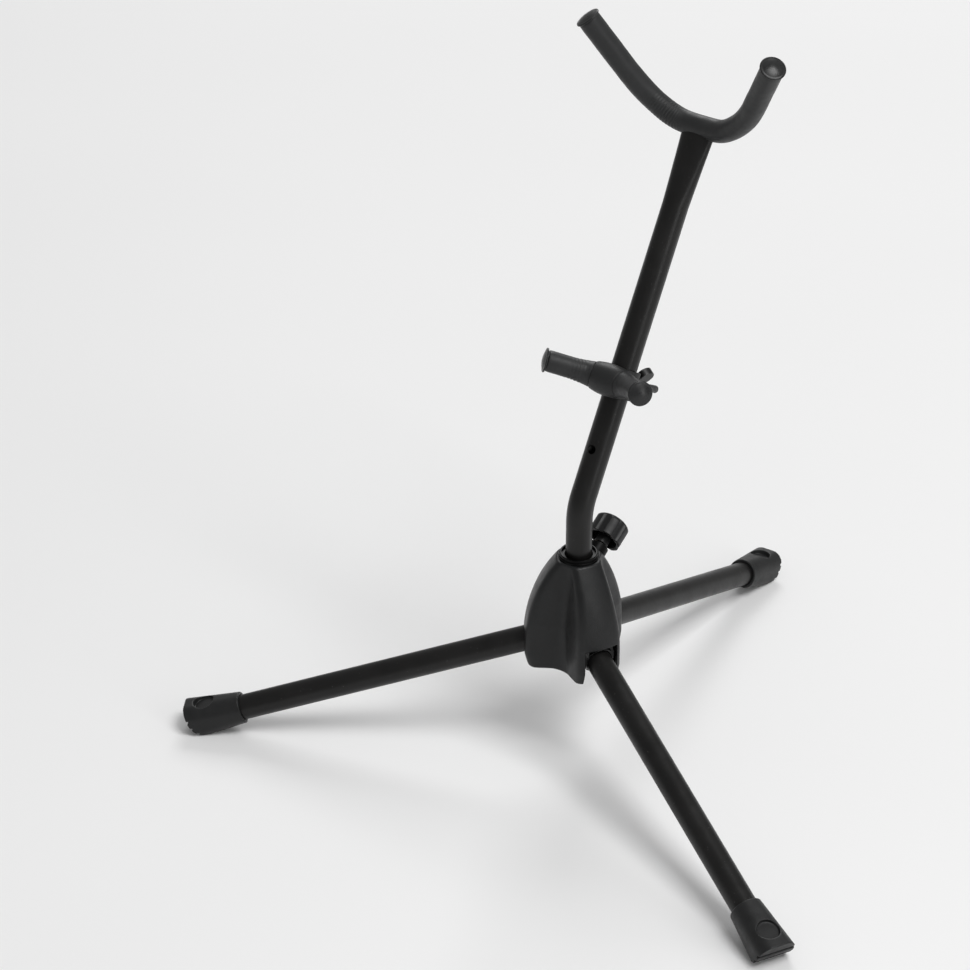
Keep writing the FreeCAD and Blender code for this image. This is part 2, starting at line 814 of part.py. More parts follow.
def flare(name, margin, wall):
    """Solid of the post's flattened top, grown by a margin and thinned by a wall."""
    body = new_body(name, POST)
    start = sketch_on(body, name + "_round", "XY_Plane")
    start.setExpression("AttachmentOffset.Base.z", link("flare_start"))
    draw_circle(start, f"tube_radius + {margin} - {wall}")
    end = sketch_on(body, name + "_flat", "XY_Plane")
    end.setExpression("AttachmentOffset.Base.z", link("fork_distance"))
    wide = f"flare_half_width + {margin} - {wall}"
    deep = f"flare_half_depth + {margin} - {wall}"
    ellipse = Part.Ellipse(FreeCAD.Vector(0, 0, 0), value(wide), value(deep))
    edge = end.addGeometry(ellipse, False)
    pin_point(end, edge, 3, ("0", "0"), "centre")
    end.exposeInternalGeometry(edge)
    for line, size, tag in ((edge + 1, wide, "wide"), (edge + 2, deep, "deep")):
        held = end.addConstraint(Sketcher.Constraint("Distance", line, 2 * value(size)))
        end.renameConstraint(held, tag)
        end.setExpression(f"Constraints.{tag}", link(f"2 * ({size})"))
    end.addConstraint(Sketcher.Constraint("Horizontal", edge + 1))
    loft = body.newObject("PartDesign::AdditiveLoft", name + "_loft")
    loft.Profile = start
    loft.Sections = [end]
    body.Tip = loft
    return body


def build_post():
    rise = f"(post_bottom + bend_height - {BEND_TANGENT})"
    turned_y = "bend_radius * (1 - cos(post_lean))"
    turned_z = f"{rise} + bend_radius * sin(post_lean)"
    length = f"(flare_start - {BEND_TANGENT})"
    foot = HUB + " * " + place("vector(0; 0; -post_bottom)")
    pipe = swept(
        "post_pipe",
        ("tube_radius", "tube_radius - tube_wall"),
        [
            ("0", "0"),
            ("0", rise),
            (turned_y, turned_z, "bend_radius", -1),
            (f"{turned_y} + {length} * sin(post_lean)", f"{turned_z} + {length} * cos(post_lean)"),
        ],
        foot,
        "XY_Plane",
        "YZ_Plane",
    )
    top = cut("post_top", flare("flare_outside", "0", "0"), flare("flare_inside", "0", "tube_wall"))
    rod = cylinder("post_notch", "fork_rod_radius", "60",
                   FORK + " * " + place("vector(-30; 0; 0)", "rotation(0; 90; 0)"))
    tools = [rod]
    for name, distance in (("low", "low_hole_distance"), ("bolt", "support_distance")):
        where = POST + " * " + place(f"vector(0; -20; {distance})", "rotation(0; 0; -90)")
        tools.append(cylinder(f"{name}_hole", "cross_hole_radius", "40", where))
    whole = fuse("post_whole", [pipe, top])
    keep(cut("post_drilled", whole, fuse("post_tools", tools)), "post_tube")
    plug = revolved(
        "plug_body",
        [
            ("0", "-plug_head"),
            ("tube_radius - 0.8", "-plug_head"),
            ("tube_radius", "-plug_head + 0.8"),
            ("tube_radius", "0"),
            ("tube_radius - tube_wall", "0"),
            ("tube_radius - tube_wall", "plug_length"),
            ("0", "plug_length"),
        ],
        foot,
    )
    keep(plug, "post_plug")


# Upper fork -----------------------------------------------------------------------------------


def fork_path(end_trim):
    """Half of the fork's centre line, from its middle out along the right prong."""
    tight = "fork_tight_turn"
    both = "(fork_tight_turn + fork_wide_turn)"
    x_one = f"fork_flat + fork_tight_radius * sin({tight})"
    z_one = f"fork_tight_radius * (1 - cos({tight}))"
    x_two = f"{x_one} + fork_wide_radius * (sin({both}) - sin({tight}))"
    z_two = f"{z_one} + fork_wide_radius * (cos({tight}) - cos({both}))"
    run = f"(fork_prong - ({end_trim}))"
    return [
        ("0", "0"),
        ("fork_flat", "0"),
        (x_one, z_one, "fork_tight_radius", 1),
        (x_two, z_two, "fork_wide_radius", 1),
        (f"{x_two} + {run} * cos({both})", f"{z_two} + {run} * sin({both})"),
    ]


def both_sides(body, name):
    """Mirrors a body's last feature across its YZ plane."""
    planes = {feature.Role: feature for feature in body.Origin.OriginFeatures}
    mirror = body.newObject("PartDesign::Mirrored", name)
    mirror.Originals = [body.Tip]
    mirror.MirrorPlane = (planes["YZ_Plane"], [""])
    body.Tip = mirror
    return body


def end_cap(name, radius, flange_start, frame):
    """Flanged cap with a domed face and a spigot in the sleeve's bore."""
    top = f"{flange_start} + cap_flange"
    steps = [
        ("0", f"{flange_start} - cap_spigot"),
        ("fork_rod_radius - 1", f"{flange_start} - cap_spigot"),
        ("fork_rod_radius - 1", flange_start),
        (f"{radius} - 0.4", flange_start),
        (radius, f"{flange_start} + 0.4"),
        (radius, f"{top} - 0.5"),
        (f"{radius} - 0.5", top),
        ("cap_dome_radius", top),
        ("0", f"{top} + cap_dome", f"(cap_dome_radius ^ 2 + cap_dome ^ 2) / (2 * cap_dome)", 1),
    ]
    return revolved(name, steps, frame)


def build_fork():
    rod = swept("fork_rod_body", ("fork_rod_radius",), fork_path("cap_spigot + 1"), FORK,
                "YZ_Plane", "XZ_Plane")
    keep(both_sides(rod, "fork_rod_mirror"), "fork_rod")
    padding = swept("fork_padding", ("fork_sleeve_radius", "fork_rod_radius + sleeve_fit"),
                    fork_path("0"), FORK, "YZ_Plane", "XZ_Plane")
    both_sides(padding, "fork_padding_mirror")
    keep(cut("fork_padding_open", padding, flare("flare_room", "0.15", "0")), "fork_sleeve")
    end = fork_path("0")[-1]
    tilt = "rotation(0; 90 - fork_tight_turn - fork_wide_turn; 0)"
    frame = FORK + " * " + place(f"vector({end[0]}; 0; {end[1]})", tilt)
    cap = end_cap("fork_cap_body", "cap_radius", "0", frame)
    keep(cap, "fork_cap_right")
    keep(mirrored("fork_cap_mirror", cap), "fork_cap_left")


# Lower support ----------------------------------------------------------------------------------


def arm_path(turn_from, trim):
    """Right arm's centre line from a turn into its bend out to its end, in the arms' frame."""
    start = (f"arm_flat + arm_bend_radius * sin({turn_from})",
             f"arm_bend_radius * (1 - cos({turn_from}))")
    bend = ("arm_flat + arm_bend_radius * sin(arm_turn)",
            "arm_bend_radius * (1 - cos(arm_turn))", "arm_bend_radius", 1)
    run = f"(arm_straight - ({trim}))"
    end = (f"{bend[0]} + {run} * cos(arm_turn)", f"{bend[1]} + {run} * sin(arm_turn)")
    return [start, bend, end]


def arm_sweep(name, radii, turn_from, turn_to=None, trim="0"):
    """Piece along the right arm; it starts at turn_from and may stop inside the bend."""
    start_x, start_z = arm_path(turn_from, "0")[0]
    frame = ARMS + " * " + place(f"vector({start_x}; 0; {start_z})", f"rotation(0; -({turn_from}); 0)")
    turn = f"({turn_to or 'arm_turn'} - {turn_from})"
    bend = (f"arm_bend_radius * sin({turn})", f"arm_bend_radius * (1 - cos({turn}))")
    path = [("0", "0"), bend + ("arm_bend_radius", 1)]
    if turn_to is None:
        run = f"(arm_straight - ({trim}))"
        path.append((f"{bend[0]} + {run} * cos({turn})", f"{bend[1]} + {run} * sin({turn})"))
    return swept(name, radii, path, frame, "YZ_Plane", "XZ_Plane")


def build_arms():
    rod = arm_sweep("arm_rod_body", ("arm_rod_radius",), "0", trim="cap_spigot + 1")
    keep(rod, "support_rod_right")
    keep(mirrored("arm_rod_mirror", rod), "support_rod_left")
    padding = arm_sweep("arm_padding", ("arm_sleeve_radius", "arm_rod_radius + sleeve_fit"),
                        "arm_seam_turn")
    keep(padding, "support_sleeve_right")
    keep(mirrored("arm_padding_mirror", padding), "support_sleeve_left")
    end = arm_path("0", "0")[-1]
    frame = ARMS + " * " + place(f"vector({end[0]}; 0; {end[1]})", "rotation(0; 90 - arm_turn; 0)")
    cap = end_cap("arm_cap_body", "arm_cap_radius", "0", frame)
    keep(cap, "support_cap_right")
    keep(mirrored("arm_cap_mirror", cap), "support_cap_left")
    return rod


SWELL_DEPTH = "(saddle_swell_radius - saddle_swell_end)"
SWELL_ROUND = f"((saddle_swell_half ^ 2 + {SWELL_DEPTH} ^ 2) / (2 * {SWELL_DEPTH}))"


def build_saddle(rod):
    """Moulded body that sits on the front of the post and carries both arms."""
    stub = arm_sweep("saddle_stub_body", ("saddle_arm_radius",), "0", "arm_seam_turn")
    beyond = arm_sweep("beyond_seam", ("saddle_radius + 2",), "(arm_seam_turn - 0.8)")
    middle = cylinder("saddle_middle", "saddle_arm_radius", "2 * arm_flat",
                      ARMS + " * " + place("vector(-arm_flat; 0; 0)", "rotation(0; 90; 0)"))
    wrap = cylinder("saddle_wrap_round", "saddle_radius", "2 * saddle_half_height",
                    POST + " * " + place("vector(0; 0; support_distance - saddle_half_height)"))
    behind = box("saddle_behind", ("-30", "saddle_wrap", "0"), ("30", "60", "200"), POST)
    bore = cylinder("saddle_bore", "tube_radius", "200", POST)
    swell = revolved(
        "saddle_swell",
        [
            ("0", "-saddle_swell_half"),
            ("saddle_swell_end", "-saddle_swell_half"),
            ("saddle_swell_end", "saddle_swell_half", SWELL_ROUND, 1),
            ("0", "saddle_swell_half"),
        ],
        ARMS + " * " + place(rotation="rotation(0; 90; 0)"),
    )
    whole = fuse("saddle_whole", [wrap, middle, swell, stub, mirrored("saddle_stub_mirror", stub)])
    shank = cylinder("saddle_shank", "bolt_radius", "tube_radius + bolt_head_depth", BOLT)
    tools = [behind, bore, rod, shank, bolt_head("head_room"), beyond]
    tools += [mirrored("rod_mirror_tool", rod), mirrored("beyond_seam_mirror", beyond)]
    keep(cut("saddle_shaped", whole, fuse("saddle_tools", tools)), "support_saddle")


def bolt_head(name):
    """Hexagon head buried in the saddle in front of the post."""
    head = add("Part::Prism", name, Height="bolt_head_height", Circumradius="bolt_head_flats / sqrt(3)")
    head.Polygon = 6
    return put(head, BOLT + " * " + place("vector(0; 0; tube_radius + bolt_head_depth)"))


def build_bolt():
    shank = cylinder("bolt_shank", "bolt_radius", "tube_radius + bolt_head_depth + bolt_tail",
                     BOLT + " * " + place("vector(0; 0; -bolt_tail)"))
    keep(fuse("bolt_whole", [bolt_head("bolt_head"), shank]), "support_bolt")
    washer_top = "(-tube_radius - 0.3)"
    washer = revolved(
        "washer_body",
        [
            ("bolt_radius + 0.25", f"{washer_top} - washer_thickness"),
            ("washer_radius", f"{washer_top} - washer_thickness"),
            ("washer_radius", washer_top),
            ("bolt_radius + 0.25", washer_top),
        ],
        BOLT,
    )
    keep(washer, "support_washer")
    build_wing_nut(f"({washer_top} - washer_thickness - 0.1)")


def build_wing_nut(top):
    turned = BOLT + " * " + place(rotation="rotation(wing_turn; 0; 0)")
    hub = revolved(
        "nut_hub",
        [
            ("0", f"{top} - nut_hub_height"),
            ("nut_hub_top_radius", f"{top} - nut_hub_height"),
            ("nut_hub_radius", top),
            ("0", top),
        ],
        turned,
    )
    ears = []
    for side, sign in (("right", ""), ("left", "-")):
        ear = place(
            f"vector({sign}wing_reach; wing_thickness / 2; {top} - wing_height)",
            "rotation(0; 0; 90)",
        )
        ears.append(cylinder(f"ear_{side}", "wing_ear_radius", "wing_thickness", turned + " * " + ear))
    web = extruded(
        "nut_web",
        [
            ("-nut_hub_radius", f"{top} - 1"),
            ("-wing_reach - wing_ear_radius * 0.8", f"{top} - wing_height + wing_ear_radius * 0.6"),
            ("-wing_reach + wing_ear_radius * 0.6", f"{top} - wing_height - wing_ear_radius * 0.8"),
            ("-nut_hub_top_radius", f"{top} - nut_hub_height"),
            ("nut_hub_top_radius", f"{top} - nut_hub_height"),
            ("wing_reach - wing_ear_radius * 0.6", f"{top} - wing_height - wing_ear_radius * 0.8"),
            ("wing_reach + wing_ear_radius * 0.8", f"{top} - wing_height + wing_ear_radius * 0.6"),
            ("nut_hub_radius", f"{top} - 1"),
        ],
        "wing_thickness",
        turned,
    )
    bore = cylinder("nut_bore", "nut_bore_radius", "60", BOLT + " * " + place("vector(0; 0; -50)"))
    whole = fuse("nut_whole", [hub, web] + ears)
    keep(cut("nut_bored", whole, bore), "wing_nut")


def check(item):
    """Stops on a feature that failed or gave no valid solid."""
    bad = {"Invalid", "Error"} & set(item.State)
    if bad:
        raise RuntimeError(f"{item.Name} ({item.Label}) is {sorted(bad)}")


def main():
    build_cover()
    build_core()
    build_collar()
    build_clamp()
    for leg, azimuth in LEGS:
        frame = leg_frame(azimuth)
        build_pin(leg, frame)
        build_knuckle(leg, frame)
        build_leg_tube(leg, frame)
        build_foot(leg, frame)
    build_post()
    build_fork()
    rod = build_arms()
    build_saddle(rod)
    build_bolt()
    doc.recompute()
    for item in doc.Objects:
        check(item)
    os.makedirs("parts", exist_ok=True)
    for node, item in PARTS.items():
        shape = item.Shape
        if shape.isNull() or not shape.isValid():
            raise RuntimeError(f"{node} has no valid shape")
        shape.exportStep(f"parts/{node}.step")
        box_ = shape.BoundBox
        print(f"{node:22s} solids {len(shape.Solids)} volume {shape.Volume:10.1f}"
              f"  z {box_.ZMin:7.2f} {box_.ZMax:7.2f}")


main()
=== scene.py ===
import json
import math

import bmesh
import bpy
import numpy as np
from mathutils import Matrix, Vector, noise


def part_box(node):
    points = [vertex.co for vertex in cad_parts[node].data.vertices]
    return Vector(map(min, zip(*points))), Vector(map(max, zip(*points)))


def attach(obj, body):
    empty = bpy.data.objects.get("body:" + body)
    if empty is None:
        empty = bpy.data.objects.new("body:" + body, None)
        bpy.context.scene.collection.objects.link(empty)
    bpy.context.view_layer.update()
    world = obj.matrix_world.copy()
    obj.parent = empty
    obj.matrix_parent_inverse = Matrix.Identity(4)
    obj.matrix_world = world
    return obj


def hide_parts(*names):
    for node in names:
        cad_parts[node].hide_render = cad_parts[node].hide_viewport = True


# Folding saxophone stand. Metres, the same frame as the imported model.

MM = 0.001

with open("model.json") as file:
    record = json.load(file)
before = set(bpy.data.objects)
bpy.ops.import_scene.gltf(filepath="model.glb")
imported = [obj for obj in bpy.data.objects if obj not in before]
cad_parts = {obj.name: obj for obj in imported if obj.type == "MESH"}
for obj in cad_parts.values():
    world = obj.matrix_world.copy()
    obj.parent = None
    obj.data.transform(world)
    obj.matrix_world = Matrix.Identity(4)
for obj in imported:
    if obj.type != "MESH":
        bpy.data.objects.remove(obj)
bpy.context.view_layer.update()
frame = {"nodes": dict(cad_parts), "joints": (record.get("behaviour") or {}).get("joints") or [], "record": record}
record = frame["record"]
nodes = frame["nodes"]
joints = {joint["name"]: joint for joint in frame["joints"]}
mounts = {mount["name"]: mount for mount in record["mounts"]}
slot_of = {part["node"]: part["material_slot"] for part in record["subparts"]}


# Places taken from the frame -------------------------------------------------------------

HUB = Vector(joints["post_swivel"]["pos_m"])
COLLAR_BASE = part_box("collar_ring")[0].z
FORWARD = Vector(mounts["lower_cross_hole"]["axis"])
BOLT = Vector(joints["nut_turn"]["pos_m"])
FORK_UP = Vector(mounts["bell_fork"]["axis"])
FORK_SLEEVE_RADIUS = 8.55 * MM
FORK_BOTTOM = Vector(mounts["bell_fork"]["pos_m"]) - FORK_UP * FORK_SLEEVE_RADIUS
RIGHT = Vector((1, 0, 0))
LEGS = ("rear", "left", "right")


# Small tools ------------------------------------------------------------------------------------


def new_object(name, data):
    obj = bpy.data.objects.new(name, data)
    bpy.context.scene.collection.objects.link(obj)
    return obj


def mesh_from(name, points, faces):
    mesh = bpy.data.meshes.new(name)
    mesh.from_pydata([tuple(p) for p in points], [], [tuple(f) for f in faces])
    mesh.update()
    mesh.polygons.foreach_set("use_smooth", [True] * len(mesh.polygons))
    return new_object(name, mesh)


def grid_faces(rows, columns, closed=True, skip=None):
    """Quads between neighbouring rows of a grid of points."""
    faces = []
    for row in range(rows - 1):
        for column in range(columns if closed else columns - 1):
            if skip and skip(row, column):
                continue
            after = (column + 1) % columns
            faces.append(
                (
                    row * columns + column,
                    row * columns + after,
                    (row + 1) * columns + after,
                    (row + 1) * columns + column,
                )
            )
    return faces


def facing_out(obj):
    bm = bmesh.new()
    bm.from_mesh(obj.data)
    bmesh.ops.recalc_face_normals(bm, faces=bm.faces)
    bm.to_mesh(obj.data)
    bm.free()
    return obj


def modifier(obj, kind, name, **settings):
    item = obj.modifiers.new(name, kind)
    for key, value in settings.items():
        setattr(item, key, value)


# Node materials ---------------------------------------------------------------------------------


class Shader:
    """A Principled material being built from nodes, in object coordinates."""

    def __init__(self, name, roughness=0.5, **fixed):
        self.material = bpy.data.materials.new(name)
        self.material.use_nodes = True
        self.tree = self.material.node_tree
        self.tree.nodes.clear()
        surface = self.tree.nodes.new("ShaderNodeOutputMaterial").inputs["Surface"]
        self.bsdf = self.tree.nodes.new("ShaderNodeBsdfPrincipled")
        self.link(self.bsdf.outputs[0], surface)
        self.bsdf.inputs["Roughness"].default_value = roughness
        for key, value in fixed.items():
            self.bsdf.inputs[key.replace("_", " ")].default_value = value
        self.place = self.tree.nodes.new("ShaderNodeTexCoord").outputs["Object"]
        self.normal = None

    def link(self, a, b):
        self.tree.links.new(a, b)

    def scaled(self, stretch):
        """The place, squeezed along each axis by the given factors."""
        item = self.tree.nodes.new("ShaderNodeMapping")
        item.inputs["Scale"].default_value = stretch
        self.link(self.place, item.inputs["Vector"])
        return item.outputs[0]

    def noise(self, size, detail=2.0, rough=0.5, stretch=None, distort=0.0):
        """Cloudy noise from 0 to 1 with features of about the given size in metres."""
        item = self.tree.nodes.new("ShaderNodeTexNoise")
        item.inputs["Scale"].default_value = 1.0 / size
        item.inputs["Detail"].default_value = detail
        item.inputs["Roughness"].default_value = rough
        item.inputs["Distortion"].default_value = distort
        self.link(self.scaled(stretch) if stretch else self.place, item.inputs["Vector"])
        return item.outputs["Fac"]

    def cells(self, size):
        """Distance from the middles of scattered cells of about the given size."""
        item = self.tree.nodes.new("ShaderNodeTexVoronoi")
        item.inputs["Scale"].default_value = 1.0 / size
        self.link(self.place, item.inputs["Vector"])
        return item.outputs["Distance"]

    def spread(self, value, low, high, to_low=0.0, to_high=1.0):
        """The value with low..high stretched to to_low..to_high, held at both ends."""
        item = self.tree.nodes.new("ShaderNodeMapRange")
        item.inputs["From Min"].default_value = low
        item.inputs["From Max"].default_value = high
        item.inputs["To Min"].default_value = to_low
        item.inputs["To Max"].default_value = to_high
        self.link(value, item.inputs["Value"])
        return item.outputs[0]

    def maths(self, operation, a, b):
        item = self.tree.nodes.new("ShaderNodeMath")
        item.operation = operation
        for socket, value in zip(item.inputs, (a, b)):
            if isinstance(value, (int, float)):
                socket.default_value = value
            else:
                self.link(value, socket)
        return item.outputs[0]

    def mix(self, factor, a, b):
        """Colour a where the factor is 0 and b where it is 1."""
        item = self.tree.nodes.new("ShaderNodeMix")
        item.data_type = "RGBA"
        self.link(factor, item.inputs[0])
        for socket, value in ((item.inputs[6], a), (item.inputs[7], b)):
            if isinstance(value, tuple):
                socket.default_value = value + (1.0,) * (4 - len(value))
            else:
                self.link(value, socket)
        return item.outputs[2]

    def edges(self, low, high):
        """0 on flat places to 1 on outer edges."""
        item = self.tree.nodes.new("ShaderNodeNewGeometry")
        return self.spread(item.outputs["Pointiness"], low, high)

    def bump(self, height, depth, strength=1.0):
        """Adds a bump of the given depth in metres on top of those before it."""
        item = self.tree.nodes.new("ShaderNodeBump")
        item.inputs["Distance"].default_value = depth
        item.inputs["Strength"].default_value = strength
        self.link(height, item.inputs["Height"])
        if self.normal is not None:
            self.link(self.normal, item.inputs["Normal"])
        self.normal = item.outputs[0]

    def colour(self, value):
        self.link(value, self.bsdf.inputs["Base Color"])

    def rough(self, value):
        self.link(value, self.bsdf.inputs["Roughness"])

    def done(self):
        if self.normal is not None:
            self.link(self.normal, self.bsdf.inputs["Normal"])
        return self.material


def grey(level, warm=0.0):
    """A grey, a little warm above 0 and a little cold below."""
    return (level * (1 + warm), level, level * (1 - warm))


def powder_coat():
    """Satin black powder coat: orange peel, faint handling marks, a few light specks."""
    s = Shader("powder_coat", 0.36, Specular_IOR_Level=0.28)
    clouds = s.noise(0.035, 3.0, 0.55)
    base = s.mix(s.spread(clouds, 0.3, 0.7), grey(0.006, 0.04), grey(0.0105, 0.03))
    specks = s.spread(s.noise(0.0016, 1.0), 0.74, 0.8)
    base = s.mix(specks, base, grey(0.05))
    s.colour(base)
    marks = s.noise(0.011, 4.0, 0.6, stretch=(1.0, 1.0, 0.35), distort=0.6)
    s.rough(s.spread(marks, 0.3, 0.75, 0.3, 0.43))
    s.bump(s.noise(0.0011, 1.5), 0.00005, 0.7)
    s.bump(s.noise(0.006, 1.0), 0.00008, 0.35)
    return s.done()


def moulded(name, level, roughness, grain, depth, cold=-0.015, shine=0.28):
    """Moulded plastic of a grey level, its grain's size and depth in metres, with painted shade in the grain's
    pits, paler at worn edges.
    """
    s = Shader(name, roughness, Specular_IOR_Level=shine)
    clouds = s.noise(0.02, 4.0, 0.6)
    base = s.mix(s.spread(clouds, 0.3, 0.72), grey(level * 0.82, cold), grey(level * 1.15, cold))
    pits = s.cells(grain)
    # Darker at the middle of each pit, where the bump dents the skin: painted shade in the grain's dents
    base = s.mix(s.spread(pits, 0.0, 0.35), grey(level * 0.7, cold), base)
    worn = s.maths("MULTIPLY", s.edges(0.52, 0.6), s.spread(s.noise(0.004, 3.0), 0.35, 0.7))
    base = s.mix(worn, base, grey(level * 1.9, cold))
    s.colour(base)
    s.rough(s.spread(s.noise(0.009, 4.0, 0.6), 0.3, 0.7, roughness - 0.06, roughness + 0.07))
    s.bump(pits, depth, 0.8)
    s.bump(s.noise(grain * 2.7, 2.0), depth * 0.8, 0.5)
    return s.done()


def rubber(name, level, roughness, grain, depth, sheen):
    """Soft rubber of a grey level: fine skin, faint dusty patches."""
    s = Shader(name, roughness, Specular_IOR_Level=0.3, Sheen_Weight=sheen, Sheen_Roughness=0.5)
    clouds = s.noise(0.014, 4.0, 0.62)
    base = s.mix(s.spread(clouds, 0.3, 0.7), grey(level * 0.86, -0.02), grey(level * 1.14, -0.02))
    dust = s.spread(s.noise(0.0022, 3.0, 0.7), 0.63, 0.78)
    base = s.mix(dust, base, grey(level * 1.8, 0.01))
    s.colour(base)
    s.rough(s.spread(s.noise(0.007, 3.0), 0.3, 0.7, roughness - 0.07, roughness + 0.08))
    s.bump(s.noise(grain, 3.0, 0.65), depth, 0.8)
    s.bump(s.noise(0.005, 2.0), depth * 1.6, 0.4)
    return s.done()


def gloss_ring():
    """Semi-gloss black plastic with hairline scratches round it."""
    s = Shader("gloss_ring", 0.36, Specular_IOR_Level=0.08)
    s.colour(s.mix(s.spread(s.noise(0.012, 3.0), 0.3, 0.7), grey(0.0012), grey(0.0025)))
    lines = s.noise(0.0012, 3.0, 0.7, stretch=(0.25, 0.25, 3.0))
    s.rough(s.spread(lines, 0.35, 0.75, 0.3, 0.42))
    s.bump(lines, 0.00001, 0.5)
    return s.done()


def metal(name, level, roughness, stretch, tint=0.0, wear=None):
    """Turned or plated metal with fine marks, stretched, and bare at its edges if worn."""
    s = Shader(name, roughness, Metallic=1.0)
    clouds = s.noise(0.006, 4.0, 0.6)
    base = s.mix(s.spread(clouds, 0.3, 0.7), grey(level * 0.8, tint), grey(level * 1.2, tint))
    if wear:
        bare = s.maths("MULTIPLY", s.edges(0.52, 0.58), s.spread(s.noise(0.002, 3.0), 0.4, 0.6))
        base = s.mix(bare, base, grey(wear, tint))
    s.colour(base)
    lines = s.noise(0.0008, 3.0, 0.7, stretch=stretch)
    s.rough(s.spread(lines, 0.3, 0.7, roughness - 0.08, roughness + 0.1))
    s.bump(lines, 0.00002, 0.6)
    return s.done()


materials = {
    "moulded_shell": moulded("moulded_shell", 0.0115, 0.38, grain=0.00075, depth=0.00007, cold=-0.03),
    "moulded_body": moulded("moulded_body", 0.02, 0.44, grain=0.0007, depth=0.00006),
    "gloss_ring": gloss_ring(),
    "liner_plastic": moulded("liner_plastic", 0.006, 0.4, grain=0.0006, depth=0.00004),
    "insert_brass": metal("insert_brass", 0.45, 0.32, stretch=(1, 1, 4), tint=0.35),
    "black_hardware": metal("black_hardware", 0.05, 0.4, stretch=(1, 3, 1), wear=0.2),
    "knob_plastic": moulded("knob_plastic", 0.0095, 0.4, grain=0.0006, depth=0.00005, cold=-0.04),
    "pin_steel": metal("pin_steel", 0.45, 0.3, stretch=(3, 1, 1)),
    "coated_tube": powder_coat(),
    "foot_rubber": rubber("foot_rubber", 0.0125, 0.44, grain=0.0007, depth=0.00008, sheen=0.02),
    "rod_steel": metal("rod_steel", 0.35, 0.35, stretch=(3, 1, 1)),
    "sleeve_rubber": rubber("sleeve_rubber", 0.0225, 0.48, grain=0.0006, depth=0.00006, sheen=0.05),
    "cap_rubber": rubber("cap_rubber", 0.018, 0.3, grain=0.0006, depth=0.00004, sheen=0.03),
}
# Painted shade: blacker copies of the moulding for pieces in the hub's shade and in its slots
painted_shade_moulding = moulded("painted_shade_moulding", 0.002, 0.4, grain=0.0006, depth=0.00003, shine=0.1)
painted_shade_knuckle_moulding = moulded(
    "painted_shade_knuckle_moulding", 0.0045, 0.24, grain=0.0006, depth=0.00003, shine=0.22
)


def finish_piece(obj, slot, body):
    obj.data.materials.clear()
    obj.data.materials.append(materials[slot])
    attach(obj, body)


for name, obj in nodes.items():
    obj.data.materials.clear()
    obj.data.materials.append(materials[slot_of[name]])

# Painted shade: mouldings seen only in the hub's shade, and the knuckles in their slots, are blacker
for name in ("hub_core", "swivel_bush"):
    nodes[name].data.materials[0] = painted_shade_moulding
for leg in LEGS:
    nodes[f"leg_knuckle_{leg}"].data.materials[0] = painted_shade_knuckle_moulding


# Moulded CAD pieces get the soft edges of a mould -----------------------------------------------


def soften(name, voxel, rounds):
    """Remeshes a piece at a voxel size in metres and smooths it a few rounds."""
    obj = nodes[name]
    modifier(obj, "REMESH", "skin", mode="VOXEL", voxel_size=voxel, use_smooth_shade=True)
    modifier(obj, "SMOOTH", "edges", factor=0.5, iterations=rounds)


for leg in LEGS:
    soften(f"foot_{leg}", 0.0005, 4)
    soften(f"leg_knuckle_{leg}", 0.0005, 2)
soften("clamp_knob", 0.0004, 3)
soften("wing_nut", 0.0003, 3)
soften("support_saddle", 0.0004, 8)


# Bell-shaped cover ------------------------------------------------------------------------------

COVER_TOP = COLLAR_BASE - HUB.z
COVER_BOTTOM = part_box("hub_cover")[0].z - HUB.z
COVER_WALL = 1.8 * MM
SHOULDER_RADII = (14.6 * MM, 13.6 * MM)

# A lobe from the side: its reach at the foot, the belly and the crown, and its curved flank
FOOT_REACH = 38.2 * MM
FOOT_HEIGHT = 11 * MM
BELLY_REACH = 41.5 * MM
BELLY_TOP = -8 * MM
CROWN_REACH = 16.4 * MM
FLANK_RADIUS = 112.0 * MM

# A lobe from above, and the valleys between lobes
LOBE_HALF = 18.2 * MM
LOBE_HALF_AT_TOP = 12.3 * MM
LOBE_TAPER_FROM = 10 * MM
LOBE_CORNER = 4.4 * MM
FRONT_ROUNDNESS = 110 * MM
VALLEY = 24.0 * MM
VALLEY_AT_TOP = 15.9 * MM
VALLEY_BLEND = 3.6 * MM

# The slot for a leg in each lobe's front, and the grid of columns that leaves it open
SLOT_TOP = 1.2 * MM
SLOT_HALF = 13.7 * MM
FRONT_TAPER_FROM = SLOT_TOP + 8 * MM
FRONT_HALF_AT_TOP = 9.0 * MM
FRONT_STEPS = 12
SIDE_STEPS = 44
VALLEY_CROWDING = 0.09

# The two rounded lips as steps of distance from the edge and inset
FOOT_LIP = np.array([(0, 1.1), (0.25, 0.55), (0.6, 0.2), (1.1, 0.04)]) * MM
TOP_LIP = np.array([(0.7, 0.12), (0.3, 0.4), (0, 0.95)]) * MM


def direction_of_leg(leg):
    x, y, _ = joints[f"leg_fold_{leg}"]["pos_m"]
    return math.atan2(y - HUB.y, x - HUB.x) % (2 * math.pi)


LOBES = sorted(direction_of_leg(leg) for leg in LEGS)


def lobe_reach(z):
    """How far a lobe reaches out at each height."""
    low, high = COVER_BOTTOM + FOOT_HEIGHT, BELLY_TOP
    start, end = np.array([BELLY_REACH, high]), np.array([CROWN_REACH, COVER_TOP])
    chord = end - start
    middle = (start + end) / 2
    across = np.array([-chord[1], chord[0]]) / np.linalg.norm(chord)
    rise = math.sqrt(FLANK_RADIUS**2 - (np.linalg.norm(chord) / 2) ** 2)
    centre = middle + across * rise
    upper = centre[0] + np.sqrt(np.maximum(FLANK_RADIUS**2 - (z - centre[1]) ** 2, 0))
    share = np.clip((z - COVER_BOTTOM) / (low - COVER_BOTTOM), 0, 1)
    foot = FOOT_REACH + (BELLY_REACH - FOOT_REACH) * share**0.8
    return np.where(z > high, upper, np.where(z > low, BELLY_REACH, foot))


